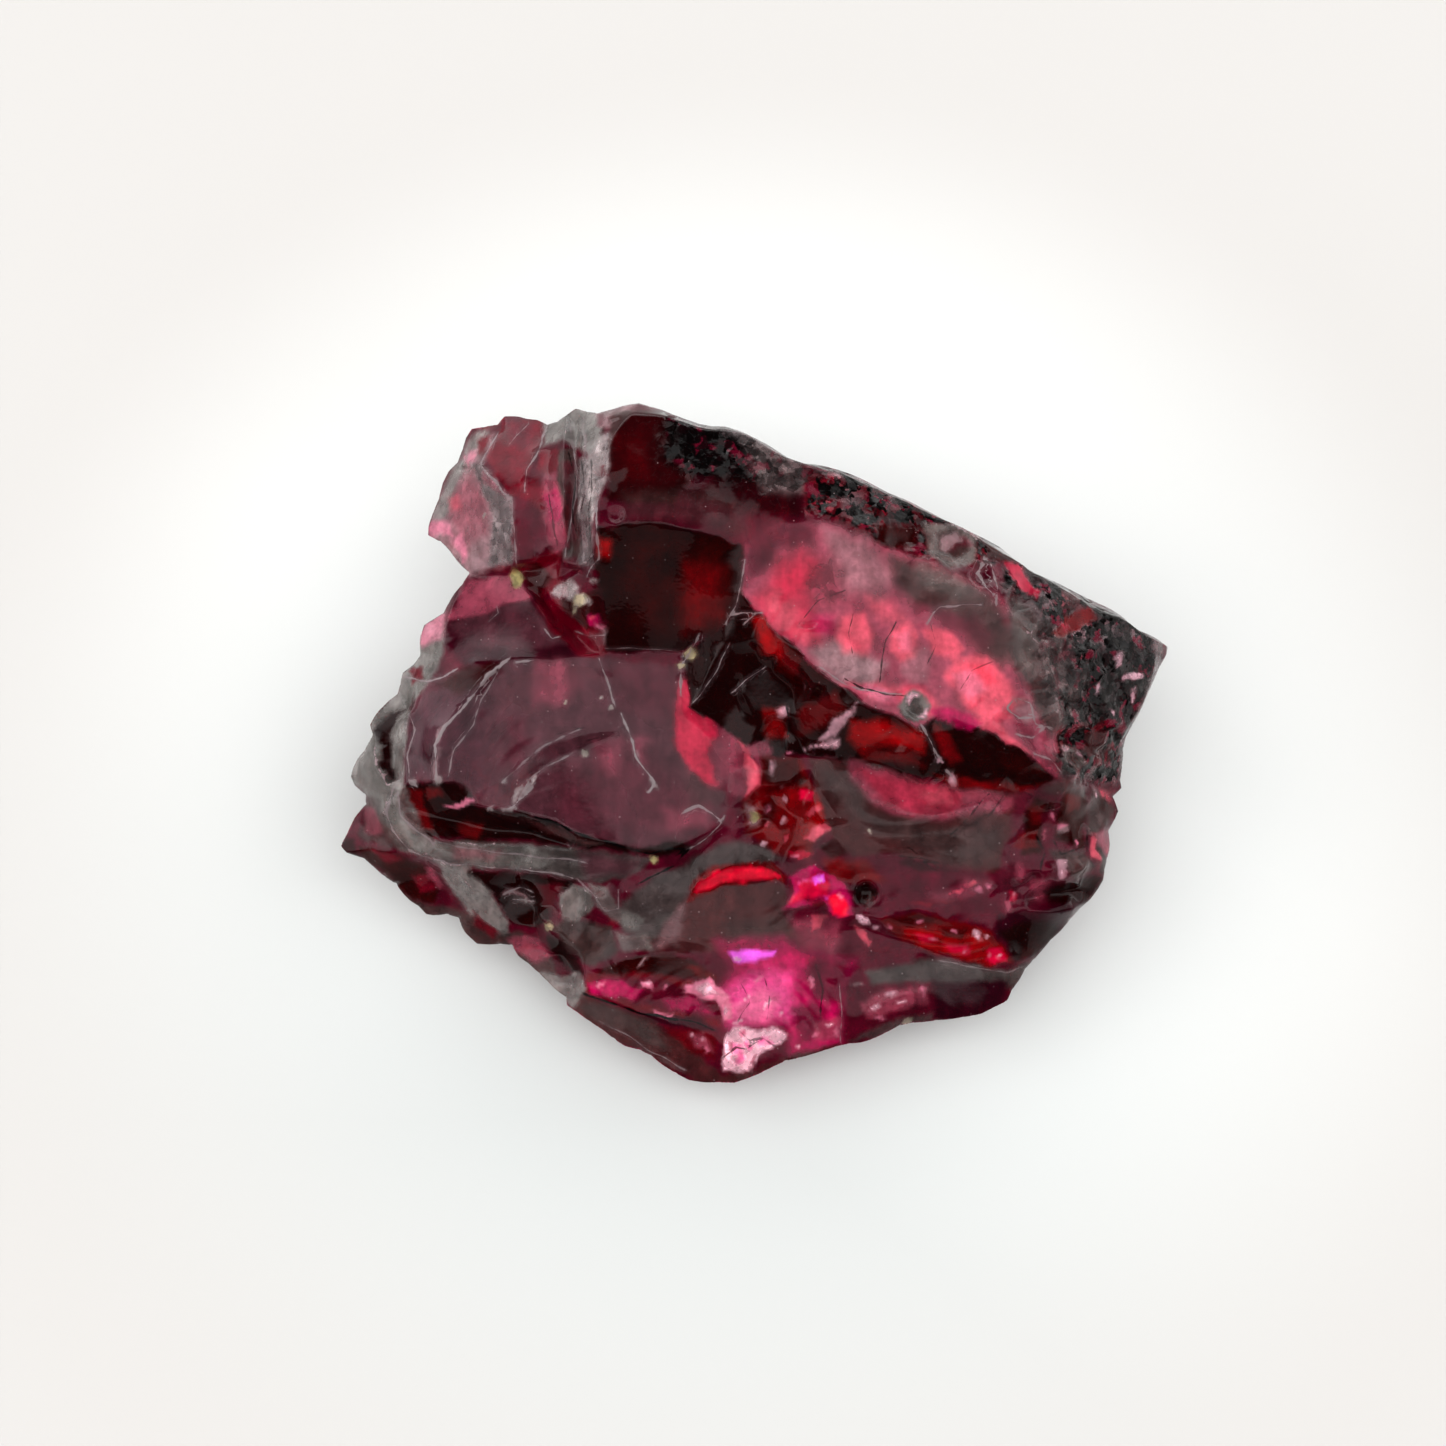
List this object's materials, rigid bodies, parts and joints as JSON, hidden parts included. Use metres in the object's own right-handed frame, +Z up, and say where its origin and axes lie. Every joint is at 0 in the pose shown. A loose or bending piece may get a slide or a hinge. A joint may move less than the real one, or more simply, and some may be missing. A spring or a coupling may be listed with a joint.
{
  "type": "painite crystal",
  "caption": "Rough broken fragment of a clear deep red crystal, with glassy hollow faces, ledges and a crusted end, resting on a flat face",
  "frame": {"origin": "middle of the bounding box in plan, on the flat face that the crystal rests on", "axes": "+Z up from the rest face, +X along the crystal's longest side to its crusted end, +Y towards its high back edge"},
  "size_m": [0.0238, 0.0186, 0.01],
  "materials": {
    "crystal": "clear deep red crystal, glossy on broken faces and rough on the crust"
  },
  "bodies": {
    "root": {"crystal": "crystal"}
  },
  "joints": []
}
